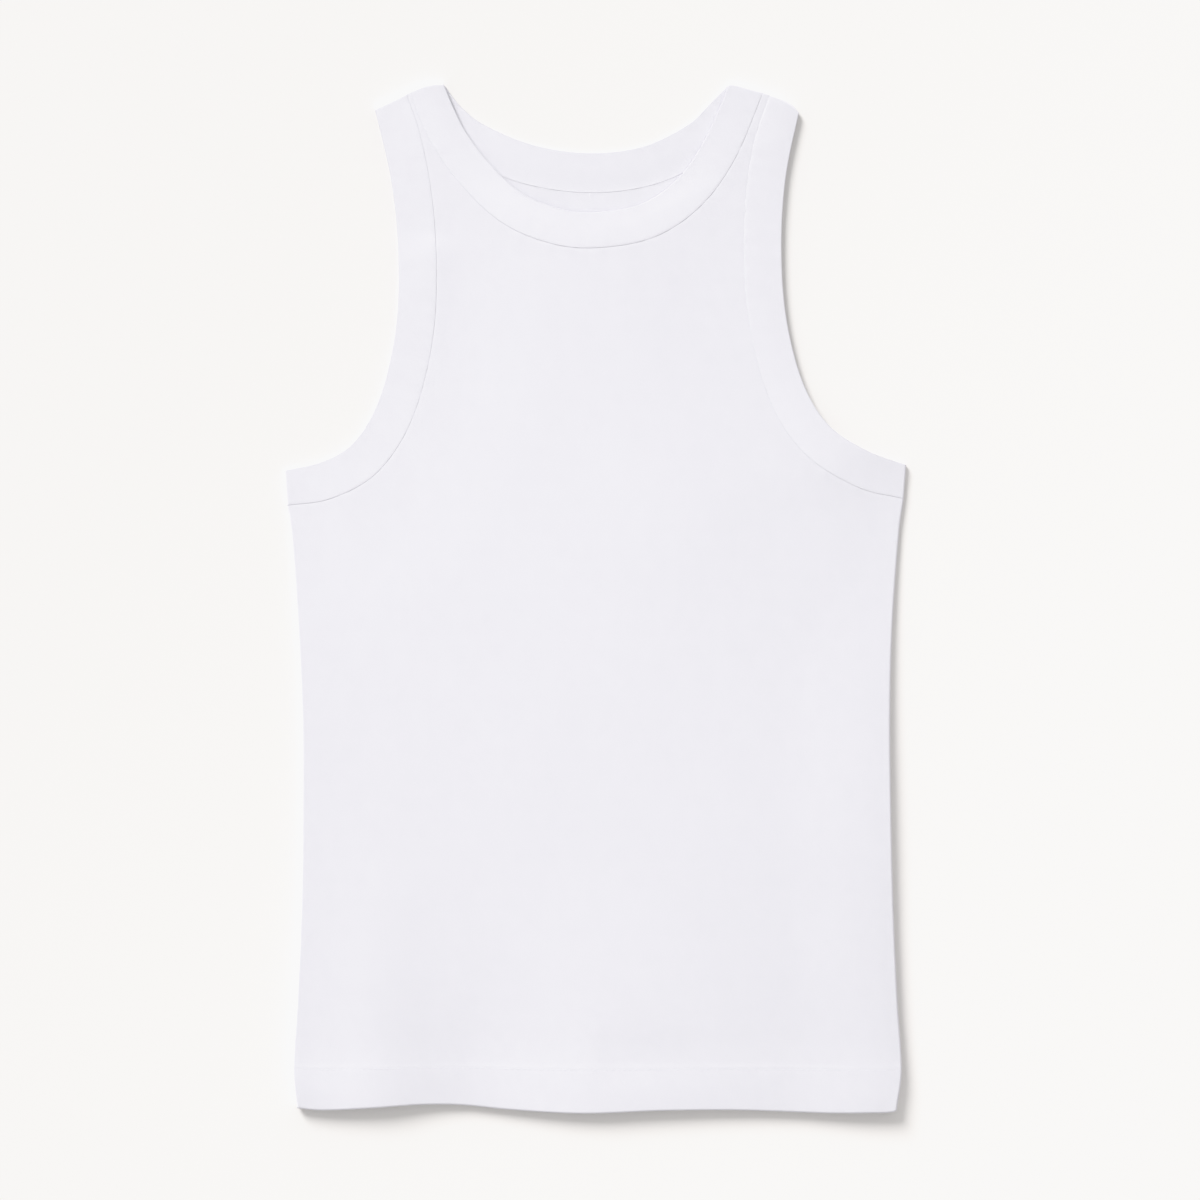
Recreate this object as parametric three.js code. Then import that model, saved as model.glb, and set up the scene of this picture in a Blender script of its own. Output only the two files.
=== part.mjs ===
// A tank top laid flat on a table with its front up, built as it is sewn: a front panel, a back
// panel, a neckband and two armhole bands, each a wall of cloth. Millimetres, +X to the right
// of someone who looks down on it, +Y towards the neck, +Z up. The back rests on z = 0.
import * as THREE from "three";

// Sewing sizes
const BAND_WIDTH = 20;
const HEM_DEPTH = 25;
const SEAM_GAP = 0.5;
const PANEL_THICK = 1.1;
const HEM_THICK = 1.6;
const BAND_THICK = 1.7;
const BAND_PROUD = 0.45;
const BAND_EDGE_SOFTENING = 0.3;

// Heights of the front's outer face over the table, in the middle and beside an armhole, and
// of the folds where front and back are one cloth
const LAY = { middle: 4.4, opening: 3.6 };
const SHOULDER_HEIGHT = 3.6;
const SIDE_HEIGHT = [
  { y: -297, left: 4.5, right: 6.0 },
  { y: -270, left: 4.5, right: 5.7 },
  { y: -235, left: 4.5, right: 5.5 },
  { y: -118, left: 4.4, right: 5.3 },
  { y: -65, left: 4.2, right: 5.0 },
  { y: -15, left: 3.9, right: 4.3 },
  { y: 20, left: 3.6, right: 3.8 },
  { y: 58, left: 3.5, right: 3.5 },
];
// How far a shoulder's fold bows out of the straight line from its armhole to the neck, at
// shares of that line, and how far down the strap the bow reaches
const SHOULDER_BOW = [
  { share: 0, left: 0, right: 0.3 },
  { share: 0.12, left: 0.5, right: 2.9 },
  { share: 0.3, left: 1.2, right: 3.9 },
  { share: 0.55, left: 2.4, right: 3.1 },
  { share: 0.76, left: 2.7, right: 1.9 },
  { share: 0.9, left: 1.5, right: 1.2 },
  { share: 1, left: 0, right: 0 },
];
const BOW_REACH = 30;
// How far the heights of a fold and of an armhole hold, and how far they take to reach the
// middle's
const HOLD = { opening: 8, fold: 6 };
const FALL = { opening: 70, fold: 60 };
// The straps lie at the armhole's height above this level
const STRAPS = { from: 212, full: 246 };
const BLEND_POWER = 6;
// How far in a fold is round, seen from above, and how squarely
const FOLD_ROUND = { reach: 2.2, power: 2.5 };

// The hem and the folded side edges, seen from above
const HEM_LEVEL = -297;
const HEM_WAVE_FADE = 48;
const FRONT_HEM = [
  { x: -174, y: -297.0 },
  { x: -160, y: -298.2 },
  { x: -133, y: -296.9 },
  { x: -102, y: -295.0 },
  { x: -78, y: -295.4 },
  { x: -50, y: -298.0 },
  { x: -8, y: -300.0 },
  { x: 38, y: -298.4 },
  { x: 82, y: -298.2 },
  { x: 134, y: -299.9 },
  { x: 164, y: -298.6 },
  { x: 178, y: -291.5 },
];
const BACK_HEM_SHORTER = 1.2;
const SIDES = [
  { y: -297, left: -173.8, right: 175.8 },
  { y: -275, left: -176.2, right: 178.6 },
  { y: -235, left: -174.0, right: 176.2 },
  { y: -180, left: -171.6, right: 173.8 },
  { y: -118, left: -170.8, right: 172.4 },
  { y: -65, left: -171.2, right: 172.0 },
  { y: -15, left: -173.6, right: 173.4 },
  { y: 40, left: -177.6, right: 177.5 },
  { y: 58, left: -180.2, right: 180.0 },
];

// Free edges of the armholes, from the underarm up to the shoulder
const LEFT_ARMHOLE = [
  { x: -181.5, y: 74.3 },
  { x: -158, y: 80 },
  { x: -140, y: 91.5 },
  { x: -125.5, y: 117 },
  { x: -116, y: 158 },
  { x: -114.8, y: 203 },
  { x: -119, y: 244 },
  { x: -128.5, y: 285.4 },
];
const RIGHT_ARMHOLE = [
  { x: 181.5, y: 77.6 },
  { x: 158, y: 86.2 },
  { x: 136, y: 101 },
  { x: 121, y: 126 },
  { x: 111.4, y: 164 },
  { x: 108.7, y: 205 },
  { x: 111.2, y: 245 },
  { x: 118.8, y: 282.6 },
];
// Where an armhole band's end meets the side of the body
const BAND_END = { left: { x: -179.9, y: 54.4 }, right: { x: 180.0, y: 57.6 } };

// Free edges of the neck, from the left shoulder to the right one
const FRONT_NECK = [
  { x: -88.5, y: 300 },
  { x: -77, y: 274.5 },
  { x: -62, y: 254 },
  { x: -44, y: 236.8 },
  { x: -24, y: 227.6 },
  { x: -3, y: 224.6 },
  { x: 26, y: 229.2 },
  { x: 48, y: 244.2 },
  { x: 64.5, y: 268 },
  { x: 78.5, y: 300 },
];
const BACK_NECK = [
  { x: -88.5, y: 300 },
  { x: -77.5, y: 286 },
  { x: -63, y: 275 },
  { x: -35, y: 263.5 },
  { x: -3, y: 259 },
  { x: 28, y: 262.5 },
  { x: 54, y: 275 },
  { x: 67, y: 287.5 },
  { x: 78.5, y: 300 },
];
const NECK_MIDDLE = { front: 5, back: 4 };

// Soft ridges of the front, each from its strong end to where it dies away, and how far it
// reaches to its left and to its right. A height below nothing is a trough.
const RIDGES = [
  { fromX: -178, fromY: -285, toX: -178, toY: -90, height: 0.8, left: 20, right: 20 },
  { fromX: -126, fromY: -302, toX: -138, toY: -120, height: 1.7, left: 30, right: 15 },
  { fromX: -72, fromY: -302, toX: -64, toY: -205, height: -0.8, left: 22, right: 30 },
  { fromX: 8, fromY: -302, toX: 6, toY: -140, height: 1.1, left: 40, right: 75 },
  { fromX: 205, fromY: -140, toX: 10, toY: -120, height: 0.6, left: 42, right: 80 },
  { fromX: 185, fromY: 98, toX: 45, toY: 50, height: 0.8, left: 20, right: 40 },
  { fromX: -96, fromY: 200, toX: -94, toY: 130, height: 0.6, left: 14, right: 16 },
  { fromX: 50, fromY: 40, toX: -40, toY: 60, height: 0.6, left: 70, right: 60 },
];

// Meshing: parts of the quarter turn round a fold, columns from each side to the middle,
// crowded towards the side, and rows of each stretch
const TURN = [0, 0.134, 0.5, 1];
const TURN_SHARE = 0.25;
const SIDE_CROWDING = 1.4;
const FRONT_COLUMNS = 13;
const BACK_COLUMNS = 5;
const BODY_ROWS = 15;
const BODY_CROWDING = 1.2;
const CHEST_ROWS = 9;
const STRAP_ROWS = 11;
const SEAM_SAMPLES = 30;
// Half the height of the inside step at the hem's fold, as a share of the hem's depth
const HEM_STEP = 0.01;
const CURVE_DIVISIONS = 40;
// Share of the armhole below the neck's lowest point, and the middle's level at the underarm
const CHEST_SHARE = { front: 0.5, back: 0.62 };
const UNDERARM_MIDDLE = 62;
// A band's cross line turns from the line of its end to square within this length
const CROSS_TURN = 30;

const MIDDLE_X = -3;
const FRONT = 1;
const BACK = -1;

const WHITE_JERSEY = { color: 0xeff0f4, roughness: 0.92, metalness: 0 };
const WHITE_BAND = { color: 0xf1f1f4, roughness: 0.9, metalness: 0 };

const smooth = (value) => THREE.MathUtils.smoothstep(value, 0, 1);

// Smooth interpolation through a table's rows: a cubic between two rows, whose slope at each
// row comes from the rows next to it.
function readTable(table, from, to, value) {
  const last = table.length - 1;
  let row = 0;
  while (row < last - 1 && value > table[row + 1][from]) row += 1;
  const slopeAt = (index) => {
    const before = table[Math.max(index - 1, 0)];
    const after = table[Math.min(index + 1, last)];
    return (after[to] - before[to]) / (after[from] - before[from]);
  };
  const start = table[row];
  const end = table[row + 1];
  const span = end[from] - start[from];
  const t = THREE.MathUtils.clamp((value - start[from]) / span, 0, 1);
  return (
    start[to] * (1 + 2 * t) * (1 - t) ** 2 +
    slopeAt(row) * span * t * (1 - t) ** 2 +
    end[to] * t * t * (3 - 2 * t) -
    slopeAt(row + 1) * span * t * t * (1 - t)
  );
}

// A free edge with the band that hangs on it: where a point at a given length along the edge
// and a given way across lies, seen from above. hand is 1 when the cloth is to the right of
// someone who walks along the edge, and -1 when it is to the left.
class Edge {
  constructor(points, startLine, endLine, hand) {
    this.curve = new THREE.SplineCurve(points.map((p) => new THREE.Vector2(p.x, p.y)));
    this.curve.arcLengthDivisions = (points.length - 1) * CURVE_DIVISIONS;
    this.lengths = this.curve.getLengths();
    this.length = this.curve.getLength();
    this.startLine = startLine;
    this.endLine = endLine;
    this.hand = hand;
  }

  lengthAtPoint(index) {
    return this.lengths[index * CURVE_DIVISIONS];
  }

  at(length, across) {
    const share = THREE.MathUtils.clamp(length / this.length, 0, 1);
    const tangent = this.curve.getTangentAt(share);
    const cross = new THREE.Vector2(tangent.y, -tangent.x).multiplyScalar(this.hand);
    cross.lerp(this.startLine, 1 - smooth(length / CROSS_TURN));
    cross.lerp(this.endLine, 1 - smooth((this.length - length) / CROSS_TURN));
    return this.curve.getPointAt(share).addScaledVector(cross.normalize(), across);
  }
}

const towards = (from, to) => new THREE.Vector2(to.x - from.x, to.y - from.y).normalize();

// Each shoulder's fold line runs from the armhole's edge to the neck's edge.
const shoulderLine = (arm, neck) => ({
  arm,
  line: towards(arm, neck),
  length: Math.hypot(neck.x - arm.x, neck.y - arm.y),
});
const shoulders = {
  left: shoulderLine(LEFT_ARMHOLE.at(-1), FRONT_NECK[0]),
  right: shoulderLine(RIGHT_ARMHOLE.at(-1), FRONT_NECK.at(-1)),
};
const armholes = {
  left: new Edge(
    LEFT_ARMHOLE, towards(LEFT_ARMHOLE[0], BAND_END.left), shoulders.left.line, 1),
  right: new Edge(
    RIGHT_ARMHOLE, towards(RIGHT_ARMHOLE[0], BAND_END.right), shoulders.right.line, -1),
};
const neckEdge = (points) =>
  new Edge(points, shoulders.left.line.clone().negate(), shoulders.right.line.clone().negate(), 1);
const necks = { front: neckEdge(FRONT_NECK), back: neckEdge(BACK_NECK) };
const seams = Object.values(armholes).map((edge) => {
  const samples = Array.from({ length: SEAM_SAMPLES + 1 }, (_, i) => i / SEAM_SAMPLES);
  return samples.map((share) => edge.at(edge.length * share, BAND_WIDTH));
});

// Distance in from a side's fold, as drawn by the body or, on a band, by the band's own end.
function sideDistance(side, x, y, isBand) {
  const inward = side === "left" ? 1 : -1;
  if (!isBand) return (x - readTable(SIDES, "y", side, y)) * inward;
  const top = side === "left" ? LEFT_ARMHOLE[0] : RIGHT_ARMHOLE[0];
  const end = BAND_END[side];
  const edgeX = top.x + ((top.y - y) * (end.x - top.x)) / (top.y - end.y);
  return (x - edgeX) * inward;
}

// Distance in from a shoulder's fold line, and the way in.
function shoulderFold(side, x, y) {
  const { arm, line } = shoulders[side];
  const inward = new THREE.Vector2(line.y, -line.x);
  if (inward.y > 0) inward.negate();
  return { distance: (x - arm.x) * inward.x + (y - arm.y) * inward.y, inward };
}

// The fold nearest to a point: a shoulder's above the chest, else a side's.
function nearestFold(x, y, isBand) {
  const side = x < MIDDLE_X ? "left" : "right";
  const shoulder = shoulderFold(side, x, y);
  const sideways = sideDistance(side, x, y, isBand);
  if (shoulder.distance < sideways) return { ...shoulder, atShoulder: true };
  const inward = new THREE.Vector2(side === "left" ? 1 : -1, 0);
  return { distance: sideways, inward, atShoulder: false };
}

// A height that holds near its line and then falls smoothly to nothing.
const falloff = (distance, key) => 1 - smooth((distance - HOLD[key]) / FALL[key]);

function ridgeHeight(ridge, x, y) {
  const along = towards({ x: ridge.fromX, y: ridge.fromY }, { x: ridge.toX, y: ridge.toY });
  const length = Math.hypot(ridge.toX - ridge.fromX, ridge.toY - ridge.fromY);
  const dx = x - ridge.fromX;
  const dy = y - ridge.fromY;
  const way = (dx * along.x + dy * along.y) / length;
  const aside = dx * along.y - dy * along.x;
  const across = aside / (aside < 0 ? ridge.left : ridge.right);
  const ease = (ridge.left + ridge.right) / 2;
  const start = smooth((way * length + ease) / ease);
  return ridge.height * start * (1 - smooth(way)) * Math.exp(-across * across);
}

// Height of the fold nearest to a point.
function foldHeight(x, y, atShoulder) {
  if (atShoulder) return SHOULDER_HEIGHT;
  return readTable(SIDE_HEIGHT, "y", x < MIDDLE_X ? "left" : "right", y);
}

// Height of the front's outer face: the middle's, with the folds that stand higher, less the
// folds and armholes that lie lower, and ridges.
function layHeight(x, y) {
  const fold = nearestFold(x, y, false);
  const toSeam = Math.min(...seams.flat().map((p) => Math.hypot(x - p.x, y - p.y)));
  const strap = smooth((y - STRAPS.from) / (STRAPS.full - STRAPS.from));
  const above = (foldHeight(x, y, fold.atShoulder) - LAY.middle) * falloff(fold.distance, "fold");
  const opening = (LAY.middle - LAY.opening) * Math.max(falloff(toSeam, "opening"), strap);
  const drop = (Math.max(-above, 0) ** BLEND_POWER + opening ** BLEND_POWER) ** (1 / BLEND_POWER);
  const ridges = RIDGES.reduce((total, ridge) => total + ridgeHeight(ridge, x, y), 0);
  return LAY.middle + Math.max(above, 0) - drop + ridges;
}

// How far the bow of a shoulder's fold moves a point.
function shoulderBow(x, y) {
  const side = x < MIDDLE_X ? "left" : "right";
  const { arm, line, length } = shoulders[side];
  const { distance, inward } = shoulderFold(side, x, y);
  const share = ((x - arm.x) * line.x + (y - arm.y) * line.y) / length;
  const bow = readTable(SHOULDER_BOW, "share", side, share) * (1 - smooth(distance / BOW_REACH));
  return { x: -inward.x * bow, y: -inward.y * bow };
}

// One point of a wall of cloth, as its outer and inner point. Away from a fold the outer face
// lies at its height over the table; at a fold it turns a quarter round, down or up to the
// level where front and back meet. softening thins the wall at a band's edges.
function wallPoint(x, y, face, { isBand, thick, softening = 0 }) {
  const lift = isBand ? BAND_PROUD : 0;
  const fold = nearestFold(x, y, isBand);
  const meeting = (foldHeight(x, y, fold.atShoulder) + lift) / 2;
  const near = THREE.MathUtils.clamp(fold.distance / FOLD_ROUND.reach, 0, 1);
  const rise = (1 - (1 - near) ** FOLD_ROUND.power) ** (1 / FOLD_ROUND.power);
  const joined = isBand && fold.atShoulder;
  const low = meeting + (joined ? 0 : (face * SEAM_GAP) / 2);
  const flat = face === FRONT ? layHeight(x, y) + lift : 0;
  const outerLevel = flat - face * softening;
  const innerLevel = flat - face * (thick - softening);
  const shift = thick * (1 - near);
  const bow = shoulderBow(x, y);
  return {
    outer: new THREE.Vector3(x + bow.x, y + bow.y, low + (outerLevel - low) * rise),
    inner: new THREE.Vector3(
      x + bow.x + fold.inward.x * shift,
      y + bow.y + fold.inward.y * shift,
      low + (innerLevel - low) * rise,
    ),
  };
}

// A closed wall from patches of wall points. Points that lie together are one point, and a
// rim joins the outer face to the inner one along every open edge.
function wallGeometry(patches) {
  const outer = [];
  const inner = [];
  const known = new Map();
  const indexOf = (point) => {
    const key = point.outer.toArray().map((value) => value.toFixed(2)).join();
    if (!known.has(key)) {
      known.set(key, outer.length);
      outer.push(point.outer);
      inner.push(point.inner);
    }
    return known.get(key);
  };
  const triangles = [];
  const edges = new Map();
  const addTriangle = (a, b, c) => {
    if (a === b || b === c || c === a) return;
    triangles.push([a, b, c]);
    for (const [from, to] of [[a, b], [b, c], [c, a]]) {
      if (!edges.delete(`${to},${from}`)) edges.set(`${from},${to}`, [from, to]);
    }
  };
  for (const { rows, up } of patches) {
    const ids = rows.map((row) => row.map(indexOf));
    for (let r = 0; r + 1 < ids.length; r += 1) {
      for (let c = 0; c + 1 < ids[r].length; c += 1) {
        const [a, b] = [ids[r][c], ids[r][c + 1]];
        const [d, e] = [ids[r + 1][c], ids[r + 1][c + 1]];
        if (up) {
          addTriangle(a, b, e);
          addTriangle(a, e, d);
        } else {
          addTriangle(a, e, b);
          addTriangle(a, d, e);
        }
      }
    }
  }
  const count = outer.length;
  const index = [];
  for (const [a, b, c] of triangles) {
    index.push(a, b, c);
    index.push(count + a, count + c, count + b);
  }
  for (const [from, to] of edges.values()) {
    index.push(to, from, count + from);
    index.push(to, count + from, count + to);
  }
  const geometry = new THREE.BufferGeometry();
  const places = [...outer, ...inner].flatMap((point) => point.toArray());
  geometry.setAttribute("position", new THREE.Float32BufferAttribute(places, 3));
  geometry.setIndex(index);
  geometry.computeVertexNormals();
  return geometry;
}

// Even steps from one place to another, without the first place.
const evenly = (from, to, steps) =>
  Array.from({ length: steps }, (_, i) => from + ((to - from) * (i + 1)) / steps);

// The places along an armhole's edge that its band and its panel are both meshed at: a quarter
// turn at the side, the chest's stretch, the strap's stretch and a quarter turn at the shoulder.
function armholePlaces(edge, part) {
  const turn = TURN.map((step) => step * FOLD_ROUND.reach);
  const chest = edge.length * CHEST_SHARE[part];
  return [
    ...turn,
    ...evenly(FOLD_ROUND.reach, chest, CHEST_ROWS),
    ...evenly(chest, edge.length - FOLD_ROUND.reach, STRAP_ROWS),
    ...turn.slice(0, -1).reverse().map((step) => edge.length - step),
  ];
}
const CHEST_PLACE = TURN.length - 1 + CHEST_ROWS;

// The same for a neck's edge, from its middle to one shoulder.
function neckPlaces(edge, part, side) {
  const middle = edge.lengthAtPoint(NECK_MIDDLE[part]);
  const span = side === "left" ? middle : edge.length - middle;
  const steps = [
    0,
    ...evenly(0, span - FOLD_ROUND.reach, STRAP_ROWS),
    ...TURN.slice(0, -1).reverse().map((step) => span - step * FOLD_ROUND.reach),
  ];
  return steps.map((step) => (side === "left" ? middle - step : middle + step));
}

// The two ends of each row across half a panel, from the hem to the shoulder: where it starts
// at the side or armhole, and where it ends at the middle or the neck.
function panelRows(side, part) {
  const armhole = armholes[side];
  const neck = necks[part];
  const seam = BAND_WIDTH + SEAM_GAP;
  const corner = armhole.at(0, seam);
  const rows = [];
  const addRow = (startX, startY, middleY) => rows.push({
    start: new THREE.Vector2(startX, startY),
    end: new THREE.Vector2(MIDDLE_X, middleY),
  });

  const hemTop = HEM_LEVEL + HEM_DEPTH;
  for (const share of [0, 0.5, 1 - HEM_STEP, 1 + HEM_STEP]) {
    const y = HEM_LEVEL + share * HEM_DEPTH;
    addRow(readTable(SIDES, "y", side, y), y, y);
  }
  for (let i = 1; i < BODY_ROWS; i += 1) {
    const share = (i / BODY_ROWS) ** BODY_CROWDING;
    const y = THREE.MathUtils.lerp(hemTop, corner.y, share);
    addRow(readTable(SIDES, "y", side, y), y, THREE.MathUtils.lerp(hemTop, UNDERARM_MIDDLE, share));
  }

  const up = armholePlaces(armhole, part);
  const shares = armholePlaces(armholes.left, part);
  const round = neckPlaces(neck, part, side);
  const neckLow = neck.at(round[0], seam);
  for (let i = 0; i <= CHEST_PLACE; i += 1) {
    const start = armhole.at(up[i], seam);
    if (i === 0) start.x = readTable(SIDES, "y", side, start.y);
    const share = shares[i] / shares[CHEST_PLACE];
    addRow(start.x, start.y, THREE.MathUtils.lerp(UNDERARM_MIDDLE, neckLow.y, share));
  }
  rows.at(-1).end.copy(neckLow);
  for (let i = CHEST_PLACE + 1; i < up.length; i += 1) {
    const end = neck.at(round[i - CHEST_PLACE], seam);
    rows.push({ start: armhole.at(up[i], seam), end });
  }
  return rows;
}

// Half of a panel as wall points. The hem's waves bend the lowest rows and die away above.
function panelPatch(side, part) {
  const face = part === "front" ? FRONT : BACK;
  const columns = part === "front" ? FRONT_COLUMNS : BACK_COLUMNS;
  const shorter = part === "front" ? 0 : BACK_HEM_SHORTER;
  const rows = panelRows(side, part).map(({ start, end }) => {
    const length = start.distanceTo(end);
    const turn = Math.min(FOLD_ROUND.reach, length * TURN_SHARE);
    const steps = TURN.map((step) => step * turn);
    for (let i = 1; i <= columns; i += 1) {
      steps.push(turn + (length - turn) * (i / columns) ** SIDE_CROWDING);
    }
    const points = steps.map((step) => {
      const place = start.clone().lerp(end, step / length);
      const above = place.y - HEM_LEVEL;
      const hemY = readTable(FRONT_HEM, "x", "y", place.x) + shorter;
      const inHem = above < HEM_DEPTH;
      const y = place.y + (hemY - HEM_LEVEL) * (1 - smooth(above / HEM_WAVE_FADE));
      return wallPoint(place.x, y, face, { thick: inHem ? HEM_THICK : PANEL_THICK });
    });
    return side === "left" ? points : points.reverse();
  });
  return { rows, up: face === FRONT };
}

// A stretch of band on its free edge, as wall points from the free edge to the seam.
function bandPatch(edge, face, places) {
  const acrossSteps = [
    { across: 0, softening: BAND_EDGE_SOFTENING },
    { across: BAND_EDGE_SOFTENING * 2, softening: 0 },
    { across: BAND_WIDTH / 2, softening: 0 },
    { across: BAND_WIDTH - BAND_EDGE_SOFTENING * 2, softening: 0 },
    { across: BAND_WIDTH, softening: BAND_EDGE_SOFTENING },
  ];
  const rows = places.map((length) =>
    acrossSteps.map(({ across, softening }) => {
      const place = edge.at(length, across);
      return wallPoint(place.x, place.y, face, { isBand: true, thick: BAND_THICK, softening });
    }));
  return { rows, up: edge.hand === face };
}

function sewnPiece(name, finish, patches) {
  const material = new THREE.MeshStandardMaterial(finish);
  const mesh = new THREE.Mesh(wallGeometry(patches), material);
  mesh.name = name;
  return mesh;
}

const PARTS = { front: FRONT, back: BACK };
const tankTop = new THREE.Group();
for (const part of Object.keys(PARTS)) {
  const patches = ["left", "right"].map((side) => panelPatch(side, part));
  tankTop.add(sewnPiece(`${part}_panel`, WHITE_JERSEY, patches));
}
for (const [side, edge] of Object.entries(armholes)) {
  const patches = Object.entries(PARTS).map(([part, face]) =>
    bandPatch(edge, face, armholePlaces(edge, part)));
  tankTop.add(sewnPiece(`armhole_band_${side}`, WHITE_BAND, patches));
}
const neckPatches = Object.entries(PARTS).map(([part, face]) => {
  const toLeft = neckPlaces(necks[part], part, "left").reverse();
  const toRight = neckPlaces(necks[part], part, "right").slice(1);
  return bandPatch(necks[part], face, [...toLeft, ...toRight]);
});
tankTop.add(sewnPiece("neckband", WHITE_BAND, neckPatches));

export default tankTop;
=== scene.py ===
"""A white jersey tank top laid flat with its front up. Every piece of cloth is a surface worked
out with numpy over the part's own sizes. Shapes are in millimetres until they become meshes."""
import math

import bpy
import numpy as np
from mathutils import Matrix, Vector


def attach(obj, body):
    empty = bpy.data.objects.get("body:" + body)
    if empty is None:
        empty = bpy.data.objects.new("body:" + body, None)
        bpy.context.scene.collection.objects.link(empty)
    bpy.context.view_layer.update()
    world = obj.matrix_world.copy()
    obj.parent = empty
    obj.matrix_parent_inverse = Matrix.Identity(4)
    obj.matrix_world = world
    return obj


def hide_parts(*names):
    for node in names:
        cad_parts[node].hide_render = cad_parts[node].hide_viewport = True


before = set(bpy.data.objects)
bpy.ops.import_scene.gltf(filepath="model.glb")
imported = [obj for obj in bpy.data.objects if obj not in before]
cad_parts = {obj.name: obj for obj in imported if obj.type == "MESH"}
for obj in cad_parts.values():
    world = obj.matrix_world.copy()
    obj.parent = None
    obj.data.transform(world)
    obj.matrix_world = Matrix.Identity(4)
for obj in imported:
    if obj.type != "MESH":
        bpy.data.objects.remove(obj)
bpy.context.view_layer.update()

MM = 0.001
FRONT, BACK = 1, -1

# Cloth. A band is thinner at its seam than at its free edge
PANEL_THICK = 0.95
HEM_THICK = 1.6
BAND_THICK = {"seam": 0.98, "free": 1.3, "over": 12.0}
BAND_WIDTH = 20.0

# How far a band stands over the front panel at its seam, at shares of the band's length
BAND_PROUD = {
    "share": [0, 0.12, 0.25, 0.4, 0.55, 0.7, 0.85, 1],
    "armhole": [0.08, 0.045, 0.0, -0.02, 0.045, 0.05, 0.02, 0.02],
    "neck": [0.03, 0.04, 0.06, 0.08, 0.08, 0.06, 0.04, 0.03],
}

# How much wider a band is at its ends and between them, and over what length it gets so
BAND_WIDER = {
    "left": {"ends": 0.6, "middle": 2.2, "over": 20.0},
    "right": {"ends": 0.0, "middle": 1.8, "over": 20.0},
    "front": {"ends": 0.0, "middle": 0.8, "over": 45.0},
    "back": {"ends": 0.0, "middle": 3.3, "over": 45.0},
}

# How far a band's face swells between its edges. The front neckband's free edge lies lower
# than its seam, and comes up to it at both ends
BAND_BULGE = 0.1
NECK_LOWER = {"depth": 0.45, "over": 60.0}

# The hem: where its second layer ends, how it flares to its edge, and its needle's row
HEM_STEP = {"from": 24.1, "over": 2.0, "height": 0.09}
HEM_FLARE = {"height": 0.7, "depth": 40.0}
HEM_NEEDLE = 22.9
HEM_DITCH = {"depth": 0.04, "reach": 0.5}
HEM_PUCKER = {"height": 0.03, "reach": 5.0, "phase": 4}
HEM_STITCH = {"length": 2.9, "gap": 0.55, "from": -171.0, "to": 173.0, "proud": 0.06}
THREAD = 0.26

# A hem stitch from end to end: shares of the thread's radius, and how its middle line dips
STITCH_ROUND = [0.45, 0.95, 1.0, 0.95, 0.45]
STITCH_DIP = [-0.14, -0.04, 0.0, -0.04, -0.14]

# Heights of the front's outer face over the table, how far each holds, and how far it falls
LAY = {"middle": 4.4, "opening": 3.6}
HOLD = {"opening": 8, "fold": 6}
FALL = {"opening": 70, "fold": 60}
STRAPS = {"from": 212, "full": 246}
BLEND_POWER = 6

# The hem, the folded sides and the free edges, seen from above
HEM_LEVEL = -297.0
HEM_WAVE_FADE = 34.0
FRONT_HEM = {
    "x": [-174, -160, -133, -102, -78, -50, -8, 38, 82, 134, 160, 173, 178],
    "y": [-297, -298.2, -296.9, -295, -295.4, -298, -300,
          -298.4, -298.2, -299.9, -299.6, -299, -296.6],
}
BACK_HEM_SHORTER = 1.2
SIDES = {
    "y": [-297, -275, -235, -180, -118, -65, -15, 40, 58],
    "left": [-173.8, -176.2, -174.0, -171.6, -170.8, -171.2, -173.6, -177.6, -180.54],
    "right": [175.8, 178.6, 176.2, 173.8, 172.4, 172.0, 173.4, 177.5, 180.06],
}
LEFT_ARMHOLE = {
    "x": [-181.5, -158, -140, -125.5, -116, -114.8, -119, -128.5],
    "y": [74.3, 80, 91.5, 117, 158, 203, 244, 285.4],
}
RIGHT_ARMHOLE = {
    "x": [181.5, 158, 136, 121, 111.4, 108.7, 111.2, 118.8],
    "y": [77.6, 86.2, 101, 126, 164, 205, 245, 282.6],
}
BAND_END = {"left": (-179.9, 54.4), "right": (180.0, 57.6)}
FRONT_NECK = {
    "x": [-88.5, -77, -62, -44, -24, -3, 26, 48, 64.5, 78.5],
    "y": [300, 274.5, 254, 236.8, 227.6, 224.6, 229.2, 244.2, 268, 300],
}
BACK_NECK = {
    "x": [-88.5, -77.5, -63, -35, -3, 28, 54, 67, 78.5],
    "y": [300, 286, 275.3, 264.1, 259.7, 263.6, 276.2, 288.5, 300],
}
NECK_MIDDLE = {"front": 5, "back": 4}
CROSS_TURN = 30.0
MIDDLE_X = -3.0
CHEST_SHARE = {"front": 0.5, "back": 0.62}
UNDERARM_MIDDLE = 46.0

# Height over the table of the folds where front and back are one cloth
FOLD_HEIGHT = {
    "y": [-297, -270, -235, -118, -65, -15, 20, 58],
    "left": [4.5, 4.5, 4.5, 4.4, 4.2, 3.9, 3.3, 3.0],
    "right": [7.2, 7.0, 6.8, 6.4, 5.7, 4.6, 3.6, 3.0],
}
SHOULDER_HEIGHT = 3.6

# How far a shoulder's fold bows out of the straight line from its armhole to the neck, at
# shares of that line, and how far down the strap the bow reaches
SHOULDER_BOW = {
    "share": [0, 0.12, 0.3, 0.55, 0.76, 0.9, 1],
    "left": [0, 0.5, 1.2, 2.4, 2.7, 1.5, 0],
    "right": [0.3, 2.9, 3.9, 3.1, 1.9, 1.2, 0],
}
BOW_REACH = 30.0
FOLD_ROUND = {"reach": 1.6, "power": 3.0, "most": 0.9}

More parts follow.
